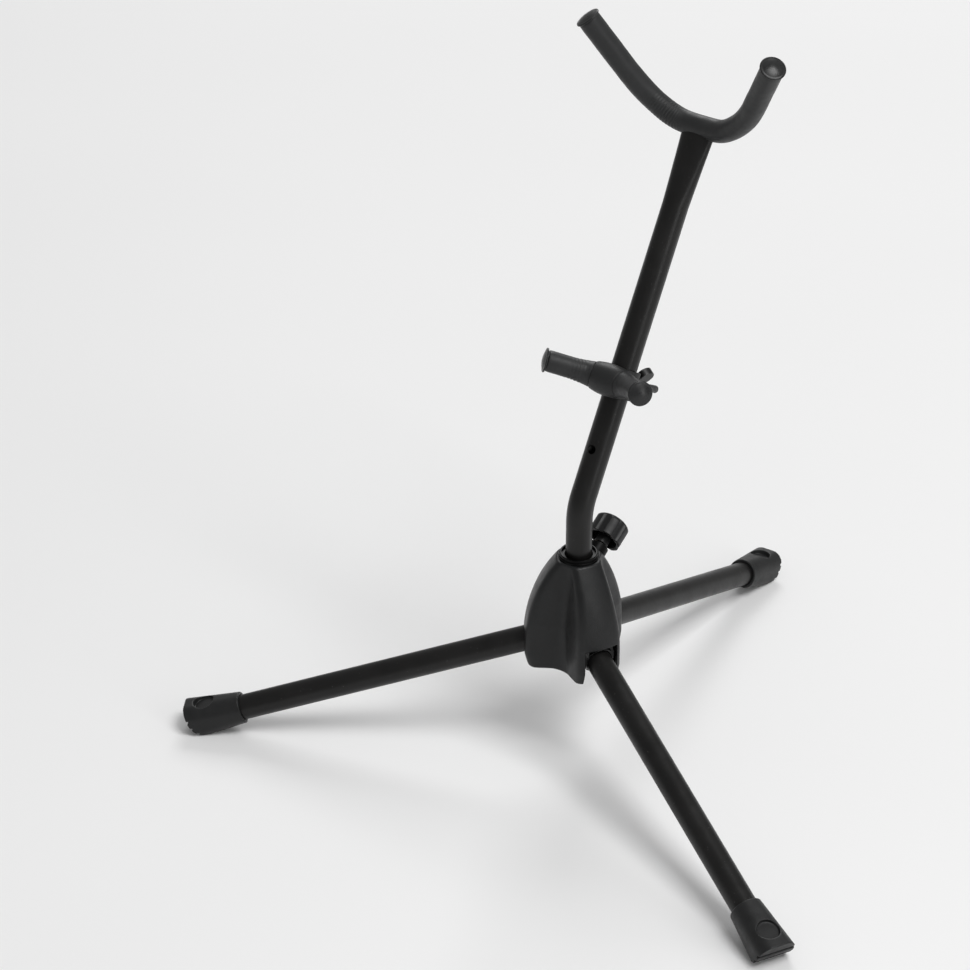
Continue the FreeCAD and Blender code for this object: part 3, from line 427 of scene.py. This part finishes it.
def smooth_least(a, b, blend):
    """The lesser of a and b, with the crease between them rounded."""
    h = np.clip(0.5 + 0.5 * (b - a) / blend, 0, 1)
    return b * (1 - h) + a * h - blend * h * (1 - h)


def cover_field(r, theta, z):
    """Distance from the cover's outer skin, below zero inside it."""
    half = np.interp(z, [LOBE_TAPER_FROM, COVER_TOP], [LOBE_HALF, LOBE_HALF_AT_TOP])
    reach = lobe_reach(z)
    x0, y0 = r * np.cos(theta), r * np.sin(theta)
    field = r - np.interp(z, [COVER_BOTTOM, COVER_TOP], [VALLEY, VALLEY_AT_TOP])
    for angle in LOBES:
        x = x0 * math.cos(angle) + y0 * math.sin(angle)
        y = -x0 * math.sin(angle) + y0 * math.cos(angle)
        front = reach - y * y / FRONT_ROUNDNESS
        beyond_x = np.abs(x - front / 2) - (front / 2 - LOBE_CORNER)
        beyond_y = np.abs(y) - (half - LOBE_CORNER)
        outside = np.hypot(np.maximum(beyond_x, 0), np.maximum(beyond_y, 0))
        lobe = outside + np.minimum(np.maximum(beyond_x, beyond_y), 0) - LOBE_CORNER
        field = smooth_least(field, lobe, VALLEY_BLEND)
    return field


def skin_radius(theta, z):
    """Distance from the hub's axis to the cover's skin, found by halving."""
    low, high = np.full_like(theta, 6 * MM), np.full_like(theta, 60 * MM)
    for _ in range(34):
        middle = (low + high) / 2
        inside = cover_field(middle, theta, z) < 0
        low, high = np.where(inside, middle, low), np.where(inside, high, middle)
    return (low + high) / 2


def lobe_angle(offset, z):
    """Angle off a lobe's middle at which its skin is a given distance to one side, by halving."""
    low, high = np.zeros_like(offset), np.full_like(offset, math.radians(58))
    for _ in range(30):
        middle = (low + high) / 2
        short = skin_radius(middle + LOBES[0], z) * np.sin(middle) < offset
        low, high = np.where(short, middle, low), np.where(short, high, middle)
    return (low + high) / 2


def cover_heights():
    """Heights of the cover's rows, close together at both lips, with one at the slots' top."""
    return np.concatenate(
        [
            COVER_BOTTOM + FOOT_LIP[:, 0],
            np.linspace(COVER_BOTTOM + 1.8 * MM, SLOT_TOP, 20),
            np.linspace(SLOT_TOP, COVER_TOP - 1.2 * MM, 42)[1:],
            COVER_TOP - TOP_LIP[:, 0],
        ]
    )


def cover_columns():
    """Each column as (whether it is on a lobe's front, the lobe, how far across it)."""
    columns = []
    for lobe in range(len(LOBES)):
        columns += [(True, lobe, k / FRONT_STEPS) for k in range(FRONT_STEPS)]
        columns += [(False, lobe, k / SIDE_STEPS) for k in range(SIDE_STEPS)]
    return columns


def row_angles(columns, z, edge, turn):
    """Angles of one row's columns: even over a front, closer together in a valley's middle."""
    offsets = np.array(
        [(2 * share - 1) * edge if on_front else 0.0 for on_front, _, share in columns]
    )
    fronts = np.copysign(lobe_angle(np.abs(offsets), np.full_like(offsets, z)), offsets)
    gap = 2 * math.pi / len(LOBES) - 2 * turn
    angles = []
    for (on_front, lobe, share), front in zip(columns, fronts):
        eased = share + VALLEY_CROWDING * math.sin(2 * math.pi * share)
        angles.append(LOBES[lobe] + (front if on_front else turn + gap * eased))
    return np.array(angles)


def ring_of_points(radii, angles, z):
    """One row of points at the given radii and angles round the hub's axis."""
    return [
        (HUB.x + radius * math.cos(angle), HUB.y + radius * math.sin(angle), HUB.z + z)
        for radius, angle in zip(radii, angles)
    ]


def build_cover():
    """Thin shell over the lobes' skin, open at the bottom and over each leg's slot."""
    heights = cover_heights()
    columns = cover_columns()
    edges = np.interp(heights, [FRONT_TAPER_FROM, COVER_TOP], [SLOT_HALF, FRONT_HALF_AT_TOP])
    inset = np.zeros_like(heights)
    inset[: len(FOOT_LIP)] = FOOT_LIP[:, 1]
    inset[-len(TOP_LIP) :] = TOP_LIP[:, 1]
    turns = lobe_angle(edges, heights)
    points = []
    for row, z in enumerate(heights):
        angles = row_angles(columns, z, edges[row], turns[row])
        radii = skin_radius(angles, np.full_like(angles, z)) - inset[row]
        points += ring_of_points(radii, angles, z)
    # The flat shoulder under the collar ring
    for radius in SHOULDER_RADII:
        points += ring_of_points([radius] * len(columns), angles, COVER_TOP)
    slot_rows = int(np.searchsorted(heights, SLOT_TOP - 1e-7))

    def in_slot(row, column):
        return columns[column][0] and row < slot_rows

    rows = len(heights) + len(SHOULDER_RADII)
    faces = grid_faces(rows, len(columns), skip=in_slot)
    cover = facing_out(mesh_from("cover_shell", points, faces))
    modifier(cover, "SOLIDIFY", "wall", thickness=COVER_WALL, offset=-1.0, use_rim=True)
    modifier(
        cover,
        "BEVEL",
        "lips",
        width=0.35 * MM,
        segments=2,
        limit_method="ANGLE",
        angle_limit=math.radians(50),
    )
    finish_piece(cover, "moulded_shell", "base")
    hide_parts("hub_cover")


build_cover()


# Padded sleeves ---------------------------------------------------------------------------------


class Path:
    """Flat path of lines and arcs from the origin along +X, read by distance along it."""

    def __init__(self):
        self.pieces = []
        self.length = 0.0
        self.point = np.zeros(2)
        self.heading = 0.0

    def line(self, length):
        self.pieces.append(("line", self.length, length, self.point.copy(), self.heading, 0.0))
        along = np.array([math.cos(self.heading), math.sin(self.heading)])
        self.point = self.point + length * along
        self.length += length

    def arc(self, radius, turn):
        turn = math.radians(turn)
        self.pieces.append(
            ("arc", self.length, radius * turn, self.point.copy(), self.heading, radius)
        )
        centre = self.point + radius * np.array([-math.sin(self.heading), math.cos(self.heading)])
        self.heading += turn
        self.point = centre - radius * np.array([-math.sin(self.heading), math.cos(self.heading)])
        self.length += radius * turn

    def at(self, s):
        """Point and heading at a distance."""
        for kind, start, length, point, heading, radius in self.pieces:
            if s <= start + length + 1e-9:
                break
        run = min(max(s - start, 0.0), length)
        if kind == "line":
            return point + run * np.array([math.cos(heading), math.sin(heading)]), heading
        centre = point + radius * np.array([-math.sin(heading), math.cos(heading)])
        now = heading + run / radius
        return centre - radius * np.array([-math.sin(now), math.cos(now)]), now


def tube_along(name, samples, origin, across, up, bore, ring=64):
    """Hollow tube over (point, heading, radius function of the angle) samples in a plane."""
    third = across.cross(up).normalized()

    def circle(point, heading, radius):
        middle = origin + across * point[0] + up * point[1]
        side = -math.sin(heading) * across + math.cos(heading) * up
        places = []
        for k in range(ring):
            angle = 2 * math.pi * k / ring
            r = radius(angle)
            places.append(middle + side * (r * math.cos(angle)) + third * (r * math.sin(angle)))
        return places

    points = []
    for point, heading, radius in samples:
        points += circle(point, heading, radius)
    for point, heading, _ in reversed(samples):
        points += circle(point, heading, lambda angle: bore)
    faces = grid_faces(2 * len(samples), ring)
    last = (2 * len(samples) - 1) * ring
    faces += [(k, (k + 1) % ring, last + (k + 1) % ring, last + k) for k in range(ring)]
    return facing_out(mesh_from(name, points, faces))


# Fork's centre line: each bend is its radius and its turn in degrees
FORK_FLAT = 14.3 * MM
FORK_CORNER = (15.1 * MM, 31.3)
FORK_SWEEP = (90.5 * MM, 29.5)
FORK_ARM = 53.7 * MM
FORK_BORE = 5.05 * MM

# Widths of the easing left and right of the middle, how far it reaches along the rod, and the
# stretch over which one width gives way to the other
LEFT_EASE = 8.5 * MM
RIGHT_EASE = 4.5 * MM
EASE_REACH = 22 * MM
EASE_CHANGE = 16 * MM

# Fine folds in the padding
FORK_FOLDS_AT = -30 * MM
FORK_FOLDS_SPREAD = 12 * MM
FORK_FOLD_DEPTH = 0.3 * MM
FORK_FOLD_PITCH = 0.42 * MM
ROUGHNESS_DEPTH = 0.05 * MM


def fork_half():
    """Centre line of the fork's rod from its middle to its right end."""
    path = Path()
    path.line(FORK_FLAT)
    path.arc(*FORK_CORNER)
    path.arc(*FORK_SWEEP)
    path.line(FORK_ARM)
    return path


def eased_points(points, gap, width):
    """The points smoothed along their line, which is first drawn out straight past its ends."""
    reach = int(EASE_REACH / gap)
    weights = np.exp(-0.5 * (np.arange(-reach, reach + 1) * gap / width) ** 2)
    weights /= weights.sum()
    before = points[0] + (points[0] - points[1]) * np.arange(reach, 0, -1)[:, None]
    after = points[-1] + (points[-1] - points[-2]) * np.arange(1, reach + 1)[:, None]
    longer = np.vstack([before, points, after])
    return np.column_stack([np.convolve(longer[:, k], weights, "valid") for k in (0, 1)])


def fork_centre(steps):
    """Places, points and headings along the fork, its bends eased as soft padding eases them."""
    half = fork_half()
    places = np.linspace(-half.length, half.length, 2 * steps + 1)
    points = np.array([half.at(abs(s))[0] * (math.copysign(1, s), 1) for s in places])
    gap = places[1] - places[0]
    rightward = np.clip(places / EASE_CHANGE + 0.5, 0, 1)[:, None]
    rightward = rightward * rightward * (3 - 2 * rightward)
    left, right = (eased_points(points, gap, width) for width in (LEFT_EASE, RIGHT_EASE))
    eased = left * (1 - rightward) + right * rightward
    slopes = np.gradient(eased, axis=0)
    return places, eased, np.arctan2(slopes[:, 1], slopes[:, 0])


def padding_radius(s, end):
    """Radius of the fork's padding round its centre line, with fine folds left of the middle."""
    lip = -0.5 * MM * math.exp(-end / (0.8 * MM))
    slack = 0.1 * MM + 0.16 * MM * noise.noise(Vector((s / (17 * MM), 3.1, 0)))
    folded = math.exp(-(((s - FORK_FOLDS_AT) / FORK_FOLDS_SPREAD) ** 2))

    def radius(angle):
        wander = 1.6 * noise.noise(Vector((s / (6 * MM), angle * 1.1, 8.0)))
        ripple = math.sin(s / FORK_FOLD_PITCH + 1.2 * math.sin(angle * 2) + wander)
        folds = FORK_FOLD_DEPTH * folded * ripple * max(0.0, math.cos(angle - 0.95)) ** 1.2
        rough = ROUGHNESS_DEPTH * noise.noise(Vector((s / (4 * MM), angle * 1.6, 5.0)))
        return FORK_SLEEVE_RADIUS + lip + slack + folds + rough

    return radius


def build_fork_padding():
    """Padding over the whole fork, a swept skin round its eased centre line."""
    places, points, headings = fork_centre(330)
    last = places[-1]
    samples = [
        (point, heading, padding_radius(s, last - abs(s)))
        for s, point, heading in zip(places, points, headings)
    ]
    padding = tube_along("fork_padding", samples, FORK_BOTTOM, RIGHT, FORK_UP, FORK_BORE)
    finish_piece(padding, "sleeve_rubber", "post")
    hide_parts("fork_sleeve")


build_fork_padding()

# Lower arms' centre lines, with the turn of the bend and the part of it hidden in the saddle in
# degrees
ARMS = BOLT + FORWARD * (15.6 * MM)
ARM_STEM = 6.5 * MM
ARM_BEND_RADIUS = 21.9 * MM
ARM_BEND = 40.5
ARM_REACH = 28.2 * MM
BEND_IN_SADDLE = 20.0
ARM_SLEEVE_RADIUS = 8.2 * MM
ARM_BORE = 4.05 * MM
ARM_FLARE = 1.9 * MM
ARM_FOLD_DEPTH = 0.28 * MM
ARM_FOLD_PITCH = 0.44 * MM


def arm_half():
    """Centre line of the lower support's rod from the post to its right end."""
    path = Path()
    path.line(ARM_STEM)
    path.arc(ARM_BEND_RADIUS, ARM_BEND)
    path.line(ARM_REACH)
    return path


def arm_padding_radius(s, begin, end, side):
    """Radius of an arm's padding, flared at the saddle, the left one folded below its flare."""
    share = (s - begin) / (end - begin)
    flare = ARM_FLARE * max(0.0, 1 - share / 0.5) ** 1.7
    lip = -0.4 * MM * math.exp(-(end - s) / (0.9 * MM))
    if side < 0:
        lip -= 0.3 * MM * math.exp(-(s - begin) / (0.5 * MM))
    folded = math.exp(-(((share - 0.36) / 0.15) ** 2)) if side < 0 else 0.25

    def radius(angle):
        wander = 1.6 * noise.noise(Vector((s / (5 * MM), angle * 1.1, side * 2.0)))
        ripple = math.sin(s / ARM_FOLD_PITCH + 1.2 * math.cos(angle * 2) + wander)
        facing_up = 0.35 + 0.65 * max(0.0, math.cos(angle - 0.6))
        folds = ARM_FOLD_DEPTH * folded * ripple * facing_up
        rough = ROUGHNESS_DEPTH * noise.noise(Vector((s / (4 * MM), angle * 1.6, side * 9.0)))
        return ARM_SLEEVE_RADIUS + flare + lip + folds + rough

    return radius


def build_arm_padding(side, name, node):
    """Padding over one lower arm, from inside the saddle's mouth to the arm's end."""
    half = arm_half()
    begin = ARM_STEM + ARM_BEND_RADIUS * math.radians(BEND_IN_SADDLE)
    count = 90
    samples = []
    for index in range(count + 1):
        s = begin + (half.length - begin) * index / count
        point, heading = half.at(s)
        facing = heading if side > 0 else math.pi - heading
        radius = arm_padding_radius(s, begin, half.length, side)
        samples.append((np.array([point[0] * side, point[1]]), facing, radius))
    padding = tube_along(name, samples, ARMS, RIGHT, FORWARD, ARM_BORE, ring=56)
    finish_piece(padding, "sleeve_rubber", "post")
    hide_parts(node)


build_arm_padding(1, "arm_padding_right", "support_sleeve_right")
build_arm_padding(-1, "arm_padding_left", "support_sleeve_left")


# End caps ---------------------------------------------------------------------------------------


def lathe(name, outline, origin, axis, ring=72):
    """Closed body turned about an axis from (radius, distance) steps."""
    axis = Vector(axis).normalized()
    side = axis.orthogonal().normalized()
    other = axis.cross(side)
    points = []
    for radius, along in outline:
        for k in range(ring):
            angle = 2 * math.pi * k / ring
            points.append(
                origin
                + axis * along
                + side * (radius * math.cos(angle))
                + other * (radius * math.sin(angle))
            )
    faces = grid_faces(len(outline), ring)
    faces.append(tuple(range(ring)))
    last = (len(outline) - 1) * ring
    faces.append(tuple(last + k for k in reversed(range(ring))))
    return facing_out(mesh_from(name, points, faces))


# Radii of the end caps in millimetres, and how far the left lower one is tipped
FORK_CAP_RADIUS = 9.7
ARM_CAP_RADIUS = 9.4
LEFT_ARM_CAP_LEAN = 0.075


def cap_outline(radius):
    """Mushroom cap of a radius in millimetres: spigot, rolled flange, shallow dome."""
    steps = [(3.9, -8.8), (4.0, -8.6), (4.0, -0.05), (4.3, 0.02)]
    steps += [(radius - 0.7, 0.02), (radius - 0.25, 0.12), (radius - 0.04, 0.4)]
    steps += [(radius, 0.75), (radius - 0.1, 1.1), (radius - 0.45, 1.42), (radius - 1.0, 1.6)]
    inner = radius - 1.5
    for k in range(15):
        share = 1 - k / 14.5
        r = inner * share
        steps.append((max(r, 0.05), 1.62 + 1.6 * (1 - (r / inner) ** 2)))
    return [(r * MM, z * MM) for r, z in steps]


def build_cap(name, node, radius, half, side, origin, up, lean=0.0):
    """Cap on the end of a rod, its face tipped by lean and moved out so that its rim stays clear."""
    point, heading = half.at(half.length)
    place = origin + RIGHT * (point[0] * side) + up * point[1]
    axis = RIGHT * (math.cos(heading) * side) + up * math.sin(heading)
    upper = up.cross(RIGHT)
    axis = (axis - upper * lean).normalized()
    place = place + axis * (lean * 8.0 * MM)
    cap = lathe(name, cap_outline(radius), place, axis)
    finish_piece(cap, "cap_rubber", "post")
    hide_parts(node)


for side, word, lean in ((1, "right", 0.0), (-1, "left", LEFT_ARM_CAP_LEAN)):
    fork_cap = (f"fork_end_{word}", f"fork_cap_{word}", FORK_CAP_RADIUS, fork_half(), side)
    build_cap(*fork_cap, FORK_BOTTOM, FORK_UP)
    arm_cap = (f"arm_end_{word}", f"support_cap_{word}", ARM_CAP_RADIUS, arm_half(), side)
    build_cap(*arm_cap, ARMS, FORWARD, lean)


# Floor, light and camera ------------------------------------------------------------------------


FLOOR_HALF = 6.0
FLOOR_STEPS = 24
FLOOR_HEIGHT = -0.2 * MM
BACKGROUND_STRENGTH = 0.3

# The camera looks at the hub from its right and above
CAMERA_FROM_HUB = Vector((1.10067, -1.52880, 1.21321))
CAMERA_TILT = 59.94
CAMERA_TURN = 37.9
CAMERA_LENS = 108.07
CAMERA_SHIFT = 0.0005


def build_floor():
    """Pale studio floor a hair under the feet."""
    lines = [-FLOOR_HALF + 2 * FLOOR_HALF * k / FLOOR_STEPS for k in range(FLOOR_STEPS + 1)]
    points = [(x, y, FLOOR_HEIGHT) for y in lines for x in lines]
    faces = grid_faces(FLOOR_STEPS + 1, FLOOR_STEPS + 1, closed=False)
    floor = mesh_from("studio_floor", points, faces)
    s = Shader("studio_floor", 0.9, Specular_IOR_Level=0.1)
    s.colour(s.mix(s.spread(s.noise(0.8, 2.0), 0.3, 0.7), grey(0.86), grey(0.88)))
    floor.data.materials.append(s.done())


def area_light(name, place, aim, width, height, power):
    data = bpy.data.lights.new(name, "AREA")
    data.shape = "RECTANGLE"
    data.size = width
    data.size_y = height
    data.energy = power
    light = new_object(name, data)
    light.location = place
    light.rotation_euler = (Vector(aim) - Vector(place)).to_track_quat("-Z", "Y").to_euler()


def build_lights():
    """White surroundings, a soft key from above, a rim light behind and a strip on the right."""
    world = bpy.data.worlds.new("studio")
    bpy.context.scene.world = world
    world.use_nodes = True
    background = world.node_tree.nodes["Background"]
    background.inputs[0].default_value = (1.0, 1.0, 1.0, 1.0)
    background.inputs[1].default_value = BACKGROUND_STRENGTH
    area_light("key", (2.2, -0.2, 4.4), aim=(0, 0, 0.2), width=2.2, height=2.2, power=132.0)
    area_light("rim", (-2.4, 3.6, 3.2), aim=(0, 0, 0.2), width=2.2, height=2.2, power=96.0)
    area_light("strip", (3.2, -0.6, 1.3), aim=(0, 0, 0.3), width=0.7, height=2.2, power=17.0)


def build_camera():
    data = bpy.data.cameras.new("camera")
    data.lens = CAMERA_LENS
    data.sensor_width = 36.0
    data.shift_x = -CAMERA_SHIFT
    data.shift_y = CAMERA_SHIFT
    data.clip_start = 0.05
    data.clip_end = 60.0
    camera = new_object("camera", data)
    camera.location = HUB + CAMERA_FROM_HUB
    camera.rotation_euler = (math.radians(CAMERA_TILT), 0.0, math.radians(CAMERA_TURN))
    bpy.context.scene.camera = camera
    bpy.context.scene.view_settings.view_transform = "Standard"


build_floor()
build_lights()
build_camera()
